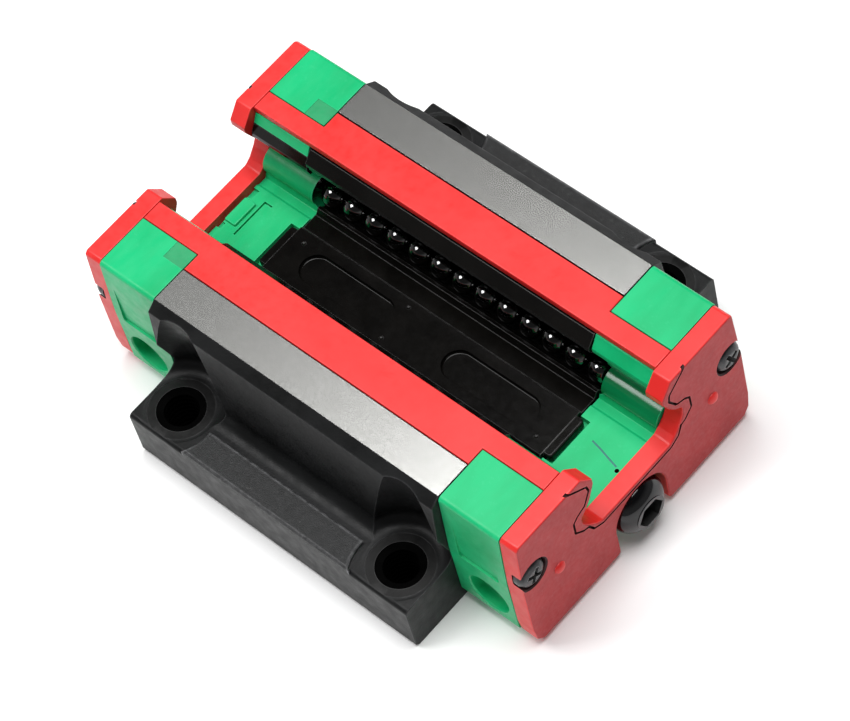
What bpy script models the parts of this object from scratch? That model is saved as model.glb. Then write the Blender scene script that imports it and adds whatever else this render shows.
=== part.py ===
"""Flanged ball-type linear guide carriage, size 20, lying on its mounting face with the rail channel up.

Row frame: origin at the centre of the mounting face, +X along the travel towards the end with the
button-head screw, +Y across, +Z from the mounting face to the open side that takes the rail.
All dimensions below are in millimetres and are turned into metres where the shapes are made.
"""
import math

import bmesh
import bpy
from mathutils import Matrix, Vector

MM = 0.001

# Overall sizes of a size-20 flanged carriage
BLOCK_LENGTH = 50.5
FACE_LENGTH = 76.7
CARRIAGE_WIDTH = 63.0
CARRIAGE_HEIGHT = 25.4
BOLT_SPACING_Y = 53.0
BOLT_SPACING_X = 40.0
BOLT_HOLE_R = 3.0
FLANGE_Z = 9.4
PAD_Z = 10.1
SPOT_FACE_Z = 9.3
WEB_Z = 9.9
GAP = 0.3

# Steel balls and the four rows they run in
BALL_R = 1.984
BALL_PITCH = 3.99
BALLS_IN_ROW = 13
GROOVE_R = 2.15
ROW_Y = 10.25
ROW_Z = {"a": 12.8, "b": 20.7}
RETURN_Y = 16.6
TURN_R = (RETURN_Y - ROW_Y) / 2
TURN_X = 26.3
TURN_Y = (RETURN_Y + ROW_Y) / 2
TURN_ARCS = (1.98, 6.22)
NECK_R = 0.45

# Ends
BLOCK_END = BLOCK_LENGTH / 2
CAP_IN = BLOCK_END + 0.15
CAP_OUT = 35.35
SEAL_IN = 35.65
SEAL_OUT = FACE_LENGTH / 2
PORT_Z = 6.0
PORT_R = 3.2
SCREW_Y = 19.7
SCREW_Z = 16.9
SCREW_R = 1.25
SCREW_TIP = 23.2
SEAL_FLOOR_Z = 24.1
CHANNEL_FLOOR_Z = 11.0

SIDES = {"left": -1, "right": 1}
ENDS = {"far": -1, "near": 1}

# Ball row sides that face the block's raceways, in degrees from +Y
RACEWAY_TOP = 72
RACEWAY_BOTTOM = -72


def clear_scene():
    for item in list(bpy.data.objects):
        bpy.data.objects.remove(item, do_unlink=True)


def new_collection(name):
    collection = bpy.data.collections.new(name)
    bpy.context.scene.collection.children.link(collection)
    return collection


def make_material(name, colour, roughness, metallic=0.0):
    material = bpy.data.materials.new(name)
    material.use_nodes = True
    shader = material.node_tree.nodes["Principled BSDF"]
    shader.inputs["Base Color"].default_value = (*colour, 1.0)
    shader.inputs["Roughness"].default_value = roughness
    shader.inputs["Metallic"].default_value = metallic
    return material


def arc(centre, radius, start, end, count):
    """Points on an arc, from the start angle to the end angle in degrees."""
    points = []
    for step in range(count + 1):
        angle = math.radians(start + (end - start) * step / count)
        points.append((centre[0] + radius * math.cos(angle), centre[1] + radius * math.sin(angle)))
    return points


def both_sides(half):
    """A closed outline from its right half, which runs from the bottom to the top."""
    return half + [(-y, z) for y, z in reversed(half)]


def mirrored(outline, side):
    return [(side * y, z) for y, z in outline]


def ribbon(path, width):
    """The outline of a strip of one width that follows a path."""
    left, right = [], []
    for index, point in enumerate(path):
        before = Vector(path[max(index - 1, 0)])
        after = Vector(path[min(index + 1, len(path) - 1)])
        along = (after - before).normalized()
        across = Vector((-along.y, along.x)) * width / 2
        left.append(tuple(Vector(point) + across))
        right.append(tuple(Vector(point) - across))
    return left + right[::-1]


AXIS_FRAMES = {
    "X": Matrix(((0, 0, 1, 0), (1, 0, 0, 0), (0, 1, 0, 0), (0, 0, 0, 1))),
    "Y": Matrix(((0, 1, 0, 0), (0, 0, 1, 0), (1, 0, 0, 0), (0, 0, 0, 1))),
    "Z": Matrix.Identity(4),
}


def add_mesh(name, mesh, collection, is_cutter):
    item = bpy.data.objects.new(name, mesh)
    collection.objects.link(item)
    if is_cutter:
        item.hide_render = True
        item.display_type = "WIRE"
    return item


def tidy_mesh(mesh):
    shape = bmesh.new()
    shape.from_mesh(mesh)
    bmesh.ops.remove_doubles(shape, verts=shape.verts, dist=1e-7)
    bmesh.ops.recalc_face_normals(shape, faces=shape.faces)
    shape.to_mesh(mesh)
    shape.free()


def extrusion(name, outline, axis, low, high, collection, is_cutter=False):
    """A flat outline carried from low to high along an axis. The outline's own two coordinates are
    (y, z) for axis X, (z, x) for axis Y and (x, y) for axis Z."""
    curve = bpy.data.curves.new(name + "_outline", "CURVE")
    curve.dimensions = "2D"
    curve.fill_mode = "BOTH"
    curve.extrude = abs(high - low) / 2 * MM
    spline = curve.splines.new("POLY")
    spline.points.add(len(outline) - 1)
    for point, (first, second) in zip(spline.points, outline):
        point.co = (first * MM, second * MM, 0.0, 1.0)
    spline.use_cyclic_u = True
    flat = bpy.data.objects.new(name + "_outline", curve)
    collection.objects.link(flat)
    bpy.context.view_layer.update()
    graph = bpy.context.evaluated_depsgraph_get()
    mesh = bpy.data.meshes.new_from_object(flat.evaluated_get(graph))
    bpy.data.objects.remove(flat, do_unlink=True)
    mesh.transform(AXIS_FRAMES[axis] @ Matrix.Translation((0, 0, (low + high) / 2 * MM)))
    tidy_mesh(mesh)
    return add_mesh(name, mesh, collection, is_cutter)


def cone(name, radii, axis, centre, low, high, collection, segments=24, is_cutter=False, turn=0.0):
    """A cylinder or cone along an axis; centre holds the two coordinates across it, in the order
    that extrusion uses."""
    shape = bmesh.new()
    bmesh.ops.create_cone(
        shape, cap_ends=True, segments=segments,
        radius1=radii[0] * MM, radius2=radii[-1] * MM, depth=(high - low) * MM,
    )
    shift = Matrix.Translation((centre[0] * MM, centre[1] * MM, (low + high) / 2 * MM))
    spin = Matrix.Rotation(math.radians(turn), 4, "Z")
    bmesh.ops.transform(shape, matrix=AXIS_FRAMES[axis] @ shift @ spin, verts=shape.verts)
    mesh = bpy.data.meshes.new(name)
    shape.to_mesh(mesh)
    shape.free()
    return add_mesh(name, mesh, collection, is_cutter)


def box(name, low, high, collection, is_cutter=False):
    shape = bmesh.new()
    bmesh.ops.create_cube(shape, size=1.0)
    size = [(b - a) * MM for a, b in zip(low, high)]
    middle = [(a + b) / 2 * MM for a, b in zip(low, high)]
    place = Matrix.Translation(middle) @ Matrix.Diagonal((*size, 1.0))
    bmesh.ops.transform(shape, matrix=place, verts=shape.verts)
    mesh = bpy.data.meshes.new(name)
    shape.to_mesh(mesh)
    shape.free()
    return add_mesh(name, mesh, collection, is_cutter)


def turned(name, profile, place, collection, steps=24, is_cutter=False):
    """A turned piece. The profile is (radius, height) from the top of its outer side to the bottom,
    about the local Z axis of the place given."""
    mesh = bpy.data.meshes.new(name)
    points = [(r * MM, 0.0, h * MM) for r, h in profile]
    edges = [(i, i + 1) for i in range(len(points) - 1)]
    mesh.from_pydata(points, edges, [])
    item = add_mesh(name, mesh, collection, is_cutter)
    item.matrix_world = place
    screw = item.modifiers.new("Turn", "SCREW")
    screw.axis = "Z"
    screw.steps = steps
    screw.render_steps = steps
    screw.use_merge_vertices = True
    screw.merge_threshold = 1e-6
    return item


def boolean(item, other, operation="DIFFERENCE"):
    modifier = item.modifiers.new(operation.title() + " " + other.name, "BOOLEAN")
    modifier.operation = operation
    modifier.solver = "EXACT"
    modifier.object = other


def along_x(end, y, z, x=0.0):
    """A place whose local Z axis points out of the carriage at one end, +1 near or -1 far."""
    turn = Matrix.Rotation(math.radians(90 * end), 4, "Y")
    return Matrix.Translation((x * MM, y * MM, z * MM)) @ turn


def span(end, low, high):
    """The x range from low to high, mirrored to the far end when end is -1."""
    return (low, high) if end > 0 else (-high, -low)


def finish(item, material, smooth=None):
    item.data.materials.clear()
    item.data.materials.append(material)
    if smooth:
        item.data.shade_smooth()
        item.data.set_sharp_from_angle(angle=math.radians(smooth))


# --- steel block -------------------------------------------------------------------------------

def block_outline():
    raceway_b = arc((ROW_Y, ROW_Z["b"]), GROOVE_R, RACEWAY_TOP, RACEWAY_BOTTOM, 8)
    raceway_a = arc((ROW_Y, ROW_Z["a"]), GROOVE_R, RACEWAY_TOP, RACEWAY_BOTTOM, 8)
    half_width = CARRIAGE_WIDTH / 2
    foot = (26.4, FLANGE_Z + 2.5)
    outer = [(half_width - 0.6, 0.0), (half_width, 0.6), (half_width, FLANGE_Z - 0.5)]
    outer += [(half_width - 0.5, FLANGE_Z)] + arc(foot, 2.5, -90, -185.5, 5)
    outer += [(22.8, 24.25), (21.2, CARRIAGE_HEIGHT)]
    inner = [(15.5, CARRIAGE_HEIGHT), (15.5, SEAL_FLOOR_Z - 0.1), (11.9, SEAL_FLOOR_Z - 0.1)]
    ridge = [(10.6, 18.1), (10.6, 15.4)]
    return both_sides(outer + inner + raceway_b + ridge + raceway_a + [(10.2, WEB_Z)])


def add_pads(block, cutters):
    """The raised cast pads between the bolt holes of each flange, with hollow round ends."""
    outside = CARRIAGE_WIDTH / 2 - 0.01
    for side_name, side in SIDES.items():
        outline = [(26.9, FLANGE_Z - 0.3), (27.0, PAD_Z - 0.4), (27.4, PAD_Z), (31.0, PAD_Z)]
        outline += [(outside, PAD_Z - 0.5), (outside, FLANGE_Z - 0.8)]
        pad = extrusion(f"pad_{side_name}", mirrored(outline, side), "X", -22, 22, cutters, True)
        for end_name, end in ENDS.items():
            name = f"pad_end_{side_name}_{end_name}"
            centre = (end * 20.8, side * 27.6)
            boolean(pad, cone(name, (6.8,), "Z", centre, 5, 15, cutters, 28, True))
        boolean(block, pad, "UNION")


def cut_bolt_seats(block, cutters):
    """Four bolt holes, each with a spot face and a tapered, domed relief in the leg's wall."""
    relief = [(0, 25.6), (3.4, 25.45), (4.3, 25.0), (4.8, 24.3)]
    relief += arc((5.0, FLANGE_Z + 2.0), 2.0, 0, -90, 4) + [(0, FLANGE_Z)]
    for side_name, side in SIDES.items():
        for end_name, end in ENDS.items():
            name = f"{side_name}_{end_name}"
            x, y = end * BOLT_SPACING_X / 2, side * BOLT_SPACING_Y / 2
            place = Matrix.Translation((x * MM, y * MM, 0))
            boolean(block, turned("relief_" + name, relief, place, cutters, 28, True))
            boolean(block, cone("hole_" + name, (BOLT_HOLE_R,), "Z", (x, y), -2, 12, cutters, 20, True))
            seat = [(0, 12.0), (4.75, 12.0), (4.75, SPOT_FACE_Z), (3.6, SPOT_FACE_Z)]
            seat += [(2.8, SPOT_FACE_Z - 0.8), (0, SPOT_FACE_Z - 0.8)]
            boolean(block, turned("seat_" + name, seat, place, cutters, 20, True))


def cut_end_holes(block, cutters):
    """The ball return holes through the legs, and the blind tapped holes of the end screws."""
    for side_name, side in SIDES.items():
        for row, row_z in ROW_Z.items():
            centre = (side * RETURN_Y, row_z)
            name = f"return_hole_{side_name}_{row}"
            boolean(block, cone(name, (GROOVE_R,), "X", centre, -30, 30, cutters, 20, True))
        for end_name, end in ENDS.items():
            low, high = span(end, SCREW_TIP - 0.2, 30)
            name = f"tapped_hole_{side_name}_{end_name}"
            centre = (side * SCREW_Y, SCREW_Z)
            boolean(block, cone(name, (SCREW_R + 0.15,), "X", centre, low, high, cutters, 16, True))


def make_block(parts, cutters, material):
    block = extrusion("carriage_block", block_outline(), "X", -BLOCK_END, BLOCK_END, parts)
    cut_bolt_seats(block, cutters)
    add_pads(block, cutters)
    cut_end_holes(block, cutters)
    finish(block, material)


# --- end caps ----------------------------------------------------------------------------------

def channel_edge():
    """The rail channel's edge from the top to the centre line: a nose over the shallow row, a round
    wall over the deep row, a ledge and the floor."""
    edge = [(9.4, 24.1), (7.8, 21.2), (7.75, 20.6), (8.4, 19.2), (10.25, 18.0)]
    edge += arc((ROW_Y, ROW_Z["a"]), GROOVE_R + 0.45, 90, 205, 8)
    return edge + [(7.5, 10.7), (6.2, 10.7), (5.8, CHANNEL_FLOOR_Z)]


def cap_outline():
    outer = [(20.6, 0.8), (22.1, 2.6), (22.1, 14.0), (21.5, CARRIAGE_HEIGHT)]
    notch = [(12.7, CARRIAGE_HEIGHT), (12.7, SEAL_FLOOR_Z - 0.1)]
    return both_sides(outer + notch + channel_edge())


def turn_pocket_profile():
    """Room for both turns of one leg and for the guide between them."""
    middle_r = 2.75
    low, high = ROW_Z["a"], ROW_Z["b"]
    profile = [(0, high + GROOVE_R)] + arc((TURN_R, high), GROOVE_R, 90, -90, 8)
    profile += [(middle_r, high - GROOVE_R), (middle_r, low + GROOVE_R)]
    return profile + arc((TURN_R, low), GROOVE_R, 90, -90, 8) + [(0, low - GROOVE_R)]


def make_cap(end_name, parts, cutters, material):
    end = ENDS[end_name]
    low, high = span(end, CAP_IN, CAP_OUT)
    cap = extrusion("end_cap_" + end_name, cap_outline(), "X", low, high, parts)
    for side_name, side in SIDES.items():
        name = f"{end_name}_{side_name}"
        place = Matrix.Translation((end * TURN_X * MM, side * TURN_Y * MM, 0))
        boolean(cap, turned("turn_pocket_" + name, turn_pocket_profile(), place, cutters, 28, True))
        low, high = span(end, 20, 45)
        centre = (side * SCREW_Y, SCREW_Z)
        boolean(cap, cone("screw_way_" + name, (SCREW_R + 0.2,), "X", centre, low, high, cutters, 16, True))
        low, high = sorted((side * 20.3, side * 30))
        centre = (7.0, end * 31.0)
        boolean(cap, cone("side_port_" + name, (3.3,), "Y", centre, low, high, cutters, 24, True))
    low, high = span(end, 28.4, 45)
    boolean(cap, cone("port_" + end_name, (PORT_R,), "X", (0, PORT_Z), low, high, cutters, 24, True))
    low, high = span(end, 20, 27.0)
    boolean(cap, box("tab_seat_" + end_name, (low, -3.9, 9.8), (high, 3.9, 20), cutters, True))
    centre = (end * 34.3, 0.2)
    boolean(cap, cone("grease_hole_" + end_name, (0.45,), "Z", centre, PORT_Z, 14, cutters, 12, True))
    finish(cap, material)


def make_guides(parts, cutters, material):
    """The small guide in each cap pocket that is the inner wall of the two ball turns."""
    post_r, disc_r = 1.0, 2.5
    low, high = ROW_Z["a"] - 1.9, ROW_Z["b"] + 1.9
    disc_low, disc_high = ROW_Z["a"] + 2.4, ROW_Z["b"] - 2.4
    profile = [(0, high), (post_r, high), (post_r, disc_high), (disc_r, disc_high)]
    profile += [(disc_r, disc_low), (post_r, disc_low), (post_r, low), (0, low)]
    for end_name, end in ENDS.items():
        low_x, high_x = sorted((end * (BLOCK_END + 0.35), 0))
        flat = box("guide_flat_" + end_name, (low_x, -30, 0), (high_x, 30, 30), cutters, True)
        for side_name, side in SIDES.items():
            place = Matrix.Translation((end * TURN_X * MM, side * TURN_Y * MM, 0))
            guide = turned(f"return_guide_{end_name}_{side_name}", profile, place, parts, 20)
            boolean(guide, flat)
            finish(guide, material, 35)


# --- seals -------------------------------------------------------------------------------------

def lip_edge():
    """The wiping edge of the end seal, from the top to the centre line."""
    return [(8.9, CARRIAGE_HEIGHT), (6.9, 23.0), (6.9, 22.0), (8.0, 19.6), (9.0, 18.3),
            (10.1, 17.5), (10.0, 15.9), (9.1, 14.4), (7.9, 13.1), (6.9, 12.4)]


def seal_outline():
    notch_r = 5.0
    notch = [(notch_r, 1.0)]
    outer = [(20.8, 1.0), (21.8, 2.2), (22.1, 5.0), (22.0, 15.0), (21.4, 24.9), (20.9, CARRIAGE_HEIGHT)]
    arch = arc((0, PORT_Z), notch_r, 90, 0, 10)
    return both_sides(arch + notch + outer + lip_edge())


def seam_path():
    """The moulded seam a little outside the wiping edge, from one leg to the other."""
    half = [(12.2, 25.8), (8.25, 22.9), (8.0, 21.7), (9.2, 19.5), (10.8, 18.85), (11.6, 18.1)]
    half += [(11.65, 15.8), (10.2, 14.5), (9.3, 14.2), (8.5, 12.6), (6.8, 11.75)]
    return half + [(-y, z) for y, z in reversed(half)]


def make_end_seal(end_name, parts, cutters, material):
    end = ENDS[end_name]
    low, high = span(end, SEAL_IN, SEAL_OUT)
    seal = extrusion("end_seal_" + end_name, seal_outline(), "X", low, high, parts)
    for side_name, side in SIDES.items():
        name = f"{end_name}_{side_name}"
        centre = (side * SCREW_Y, SCREW_Z)
        low, high = span(end, 20, 45)
        boolean(seal, cone("seal_way_" + name, (SCREW_R + 0.2,), "X", centre, low, high, cutters, 16, True))
        low, high = span(end, 36.6, 45)
        boolean(seal, cone("head_seat_" + name, (2.8,), "X", centre, low, high, cutters, 24, True))
        low, high = span(end, SEAL_OUT - 1.0, SEAL_OUT + 0.4)
        radii = (1.0, 0.7) if end > 0 else (0.7, 1.0)
        dot = cone("dot_" + name, radii, "X", (side * 15.5, 12.6), low, high, cutters, 16, True)
        boolean(seal, dot, "UNION")
    low, high = span(end, SEAL_OUT - 0.45, 45)
    seam = extrusion("seam_" + end_name, ribbon(seam_path(), 0.3), "X", low, high, cutters, True)
    boolean(seal, seam)
    finish(seal, material)


def make_bottom_seals(parts, material):
    """The strips that close the gap between each leg and the rail, from end seal to end seal."""
    wide, narrow, inner = 15.2, 12.4, 9.45
    middle_end, strip_end = BLOCK_END - 0.2, CAP_OUT
    for side_name, side in SIDES.items():
        half = [(strip_end, inner), (strip_end, narrow), (middle_end, narrow), (middle_end, wide)]
        outline = half + [(-x, y) for x, y in reversed(half)]
        outline = [(x, side * y) for x, y in outline]
        strip = extrusion("bottom_seal_" + side_name, outline, "Z", SEAL_FLOOR_Z + 0.2, CARRIAGE_HEIGHT, parts)
        finish(strip, material)


# --- ball retainers ----------------------------------------------------------------------------

def make_centre_retainer(parts, cutters, material):
    """The plate over the block's web; its raised edges keep the deep ball rows in."""
    half = [(9.1, WEB_Z + GAP), (9.1, 10.75), (8.65, 11.05), (8.2, 11.6), (8.0, 11.95), (7.5, 11.95)]
    half += [(7.2, 11.4), (6.9, 11.0), (4.3, 11.0), (4.0, 11.6)]
    plate = extrusion("centre_retainer", both_sides(half), "X", -BLOCK_END + 0.1, BLOCK_END - 0.1, parts)
    tab = box("retainer_tabs", (-26.4, -3.5, WEB_Z + GAP), (26.4, 3.5, 11.5), cutters, True)
    boolean(plate, tab, "UNION")
    for index, middle in enumerate((-13.0, 13.0)):
        ends = arc((middle + 5.7, 0), 2.4, -90, 90, 8) + arc((middle - 5.7, 0), 2.4, 90, 270, 8)
        boolean(plate, extrusion(f"recess_{index}", ends, "Z", 11.0, 14, cutters, True))
    finish(plate, material)


def make_side_retainers(parts, material):
    """The long strips under the bottom seals that keep the shallow ball rows in."""
    row = (ROW_Y, ROW_Z["b"])
    for side_name, side in SIDES.items():
        outline = arc(row, GROOVE_R, 82, 158, 7)
        outline += [(7.85, 21.4), (7.85, 22.3), (9.3, SEAL_FLOOR_Z - 0.15), (11.3, SEAL_FLOOR_Z - 0.15)]
        outline += [(10.75, 23.1)]
        name = "side_retainer_" + side_name
        strip = extrusion(name, mirrored(outline, side), "X", -BLOCK_END + 0.1, BLOCK_END - 0.1, parts)
        finish(strip, material)


# --- screws and port fittings ------------------------------------------------------------------

def make_end_screw(end_name, side_name, parts, cutters, material):
    """A cross-recessed pan-head screw that clamps the seal and the cap to the block."""
    end, side = ENDS[end_name], SIDES[side_name]
    head, top = 36.85, 38.65
    profile = [(0, top), (1.5, top - 0.1), (2.2, top - 0.5), (2.45, top - 1.1), (2.45, head)]
    profile += [(SCREW_R, head), (SCREW_R, SCREW_TIP + 0.4), (SCREW_R - 0.4, SCREW_TIP), (0, SCREW_TIP)]
    place = along_x(end, side * SCREW_Y, SCREW_Z)
    name = f"{end_name}_{side_name}"
    screw = turned("end_screw_" + name, profile, place, parts, 20)
    low, high = span(end, top - 1.1, top + 1)
    for index, size in enumerate(((1.3, 0.28), (0.28, 1.3))):
        y, z = side * SCREW_Y, SCREW_Z
        corners = ((low, y - size[0], z - size[1]), (high, y + size[0], z + size[1]))
        boolean(screw, box(f"cross_{name}_{index}", *corners, cutters, True))
    finish(screw, material, 35)


def make_port_fittings(parts, cutters, black, grey):
    """The near lubrication port is closed by a button-head screw on a washer, the far one by a plug."""
    washer_low, washer_high, head_r, head_high = SEAL_IN, 36.9, 4.35, 2.75
    ring = [(4.6, washer_high - washer_low), (4.6, 0), (3.4, 0), (3.4, washer_high - washer_low)]
    ring.append(ring[0])
    washer = turned("port_washer", ring, along_x(1, 0, PORT_Z, washer_low), parts, 28)
    finish(washer, grey, 35)

    base = washer_high + 0.25
    dome = [(0, base + head_high), (2.75, base + head_high)]
    dome += [(head_r * math.cos(math.radians(a)), base + 0.3 + 2.9 * math.sin(math.radians(a)))
             for a in (45, 30, 15, 0)]
    dome += [(head_r, base), (2.9, base), (2.9, 29.4), (2.5, 29.0), (0, 29.0)]
    screw = turned("port_screw", dome, along_x(1, 0, PORT_Z), parts, 28)
    socket = cone("port_socket", (2.31,), "X", (0, PORT_Z), base + 0.9, 50, cutters, 6, True, 30)
    boolean(screw, socket)
    finish(screw, black, 35)

    plug = cone("port_plug", (2.9,), "X", (0, PORT_Z), -35.1, -29.1, parts, 24)
    socket = cone("plug_socket", (1.73,), "X", (0, PORT_Z), -50, -32.6, cutters, 6, True)
    boolean(plug, socket)
    finish(plug, grey, 35)


# --- balls -------------------------------------------------------------------------------------

def row_profile(bands):
    """Balls threaded on a thin neck, as one turned outline from the top down."""
    neck_angle = math.degrees(math.asin(NECK_R / BALL_R))
    first = (BALLS_IN_ROW - 1) / 2 * BALL_PITCH
    profile = [(0, first + BALL_R)]
    for index in range(BALLS_IN_ROW):
        middle = first - index * BALL_PITCH
        start = 0 if index == 0 else neck_angle
        end = 180 if index == BALLS_IN_ROW - 1 else 180 - neck_angle
        for step in range(bands + 1):
            angle = math.radians(start + (end - start) * step / bands)
            point = (BALL_R * math.sin(angle), middle + BALL_R * math.cos(angle))
            if point[0] > 1e-6:
                profile.append(point)
    return profile + [(0, -first - BALL_R)]


def make_rows(parts, material):
    for side_name, side in SIDES.items():
        for row, row_z in ROW_Z.items():
            for kind, y, bands, steps in (("loaded", ROW_Y, 4, 8), ("return", RETURN_Y, 3, 6)):
                name = f"{kind}_balls_{row}_{side_name}"
                balls = turned(name, row_profile(bands), along_x(1, side * y, row_z), parts, steps)
                finish(balls, material, 80)


def make_turn(name, end, side, row_z, parts, cutters, material):
    """The two balls in one turn, joined by a thin neck, with the origin on the turn's axis."""
    centre = Vector((end * TURN_X, side * TURN_Y, row_z))
    places = []
    for travel in TURN_ARCS:
        angle = travel / TURN_R
        places.append(Vector((end * math.sin(angle), -side * math.cos(angle), 0)) * TURN_R)
    shape = bmesh.new()
    bmesh.ops.create_uvsphere(shape, u_segments=8, v_segments=5, radius=BALL_R * MM)
    bmesh.ops.translate(shape, verts=shape.verts, vec=places[0] * MM)
    mesh = bpy.data.meshes.new(name)
    shape.to_mesh(mesh)
    shape.free()
    pair = add_mesh(name, mesh, parts, False)
    pair.location = centre * MM

    shape = bmesh.new()
    bmesh.ops.create_uvsphere(shape, u_segments=8, v_segments=5, radius=BALL_R * MM)
    mesh = bpy.data.meshes.new(name + "_second")
    shape.to_mesh(mesh)
    shape.free()
    second = add_mesh(name + "_second", mesh, cutters, True)
    second.location = (centre + places[1]) * MM
    boolean(pair, second, "UNION")

    gap = places[1] - places[0]
    shape = bmesh.new()
    bmesh.ops.create_cone(shape, cap_ends=True, segments=6, radius1=NECK_R * MM,
                          radius2=NECK_R * MM, depth=gap.length * MM * 0.6)
    mesh = bpy.data.meshes.new(name + "_neck")
    shape.to_mesh(mesh)
    shape.free()
    neck = add_mesh(name + "_neck", mesh, cutters, True)
    neck.rotation_euler = gap.to_track_quat("Z", "Y").to_euler()
    neck.location = (centre + (places[0] + places[1]) / 2) * MM
    boolean(pair, neck, "UNION")
    finish(pair, material, 80)


def make_turns(parts, cutters, material):
    for end_name, end in ENDS.items():
        for side_name, side in SIDES.items():
            for row, row_z in ROW_Z.items():
                name = f"turn_balls_{row}_{side_name}_{end_name}"
                make_turn(name, end, side, row_z, parts, cutters, material)


def main():
    clear_scene()
    parts = new_collection("linear_guide_carriage")
    cutters = new_collection("cutters")
    black_steel = make_material("black_oxide_steel", (0.035, 0.037, 0.042), 0.5, 0.6)
    ball_steel = make_material("ball_steel", (0.75, 0.75, 0.76), 0.12, 1.0)
    zinc = make_material("plated_steel", (0.5, 0.5, 0.5), 0.35, 1.0)
    green = make_material("green_plastic", (0.02, 0.55, 0.22), 0.4)
    red = make_material("red_rubber", (0.8, 0.04, 0.04), 0.5)
    black_plastic = make_material("black_plastic", (0.015, 0.015, 0.015), 0.3)

    make_block(parts, cutters, black_steel)
    for end_name in ENDS:
        make_cap(end_name, parts, cutters, green)
        make_end_seal(end_name, parts, cutters, red)
        for side_name in SIDES:
            make_end_screw(end_name, side_name, parts, cutters, black_steel)
    make_guides(parts, cutters, green)
    make_bottom_seals(parts, red)
    make_centre_retainer(parts, cutters, black_plastic)
    make_side_retainers(parts, black_plastic)
    make_port_fittings(parts, cutters, black_steel, zinc)
    make_rows(parts, ball_steel)
    make_turns(parts, cutters, ball_steel)


main()
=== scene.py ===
import math

import bmesh
import bpy
from mathutils import Matrix, Vector


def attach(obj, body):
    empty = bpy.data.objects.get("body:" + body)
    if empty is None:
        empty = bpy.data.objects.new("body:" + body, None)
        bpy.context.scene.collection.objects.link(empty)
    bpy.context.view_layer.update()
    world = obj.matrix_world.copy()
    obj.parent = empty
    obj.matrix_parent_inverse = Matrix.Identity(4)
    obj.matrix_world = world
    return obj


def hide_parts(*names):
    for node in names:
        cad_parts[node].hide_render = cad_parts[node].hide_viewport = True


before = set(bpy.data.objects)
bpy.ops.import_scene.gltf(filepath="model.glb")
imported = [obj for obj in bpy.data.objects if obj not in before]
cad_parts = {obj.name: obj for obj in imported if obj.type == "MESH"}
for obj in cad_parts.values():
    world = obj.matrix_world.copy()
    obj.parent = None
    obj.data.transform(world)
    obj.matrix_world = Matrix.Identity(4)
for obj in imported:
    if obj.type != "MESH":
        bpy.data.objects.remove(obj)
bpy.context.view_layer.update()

MM = 0.001
SIDES = {"left": -1, "right": 1}
ENDS = {"far": -1, "near": 1}

# Main sizes in millimetres, as in the CAD
BLOCK_END = 25.25
CAP_IN, CAP_OUT = 25.33, 35.4
SEAL_IN, SEAL_OUT = 35.48, 38.35
TOP_Z = 25.4
FLANGE_Z, PAD_Z, SPOT_Z = 9.4, 10.1, 9.3
SPOT_R = 4.75
WEB_Z = 9.9
HALF_WIDTH = 31.5
BOLT_X, BOLT_Y = 20.0, 26.5
ROW_Y = 10.25
ROW_Z = {"a": 12.8, "b": 20.7}
RETURN_Y = 16.6
GROOVE_R = 2.15
BALL_R = 1.984
BALL_PITCH = 3.99
BALLS_IN_ROW = 13
TURN_X = 26.3
TURN_Y = (RETURN_Y + ROW_Y) / 2
TURN_R = (RETURN_Y - ROW_Y) / 2
TURN_ARCS = (1.98, 6.22)
SCREW_Y, SCREW_Z = 19.7, 16.9
PORT_Z = 6.0
DOT_R, DOT_RISE = 0.98, 0.68
RETAINER_END = 25.15
DIMPLE_Z, DIMPLE_DEPTH = 11.85, 0.36
SCREW_WAY_R = 1.45
HEAD_R = 2.3


# --- outlines ----------------------------------------------------------------------------------

def arc(centre, radius, start, end, count=12):
    """Points on an arc, from the start angle to the end angle in degrees."""
    points = []
    for step in range(count + 1):
        angle = math.radians(start + (end - start) * step / count)
        points.append((centre[0] + radius * math.cos(angle), centre[1] + radius * math.sin(angle)))
    return points


def rounded(corners, count=5, closed=True):
    """The corners (a, b) or (a, b, radius) as plain points, with each radius turned into an arc."""
    points = []
    total = len(corners)
    for index, corner in enumerate(corners):
        here = Vector(corner[:2])
        at_end = not closed and index in (0, total - 1)
        if len(corner) < 3 or corner[2] <= 0 or at_end:
            points.append(tuple(here))
            continue
        back = Vector(corners[index - 1][:2]) - here
        ahead = Vector(corners[(index + 1) % total][:2]) - here
        half = back.angle(ahead) / 2
        reach = min(corner[2] / math.tan(half), back.length * 0.48, ahead.length * 0.48)
        start = here + back.normalized() * reach
        end = here + ahead.normalized() * reach
        middle = here + (back.normalized() + ahead.normalized()).normalized() * reach / math.cos(half)
        first, last = start - middle, end - middle
        for step in range(count + 1):
            share = step / count
            spoke = first.lerp(last, share)
            points.append(tuple(middle + spoke.normalized() * first.length))
    return points


def both_sides(half):
    """A closed outline from its right half, which runs from the bottom to the top."""
    return half + [(-corner[0], *corner[1:]) for corner in reversed(half)]


def mirrored(outline, side):
    return [(side * corner[0], *corner[1:]) for corner in outline]


def ribbon(path, width):
    """The outline of a strip of one width that follows a path."""
    left, right = [], []
    for index, point in enumerate(path):
        before = Vector(path[max(index - 1, 0)])
        after = Vector(path[min(index + 1, len(path) - 1)])
        along = (after - before).normalized()
        across = Vector((-along.y, along.x)) * width / 2
        left.append(tuple(Vector(point) + across))
        right.append(tuple(Vector(point) - across))
    return left + right[::-1]


# --- meshes ------------------------------------------------------------------------------------

AXIS_FRAMES = {
    "X": Matrix(((0, 0, 1, 0), (1, 0, 0, 0), (0, 1, 0, 0), (0, 0, 0, 1))),
    "Y": Matrix(((0, 1, 0, 0), (0, 0, 1, 0), (1, 0, 0, 0), (0, 0, 0, 1))),
    "Z": Matrix.Identity(4),
}


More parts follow.
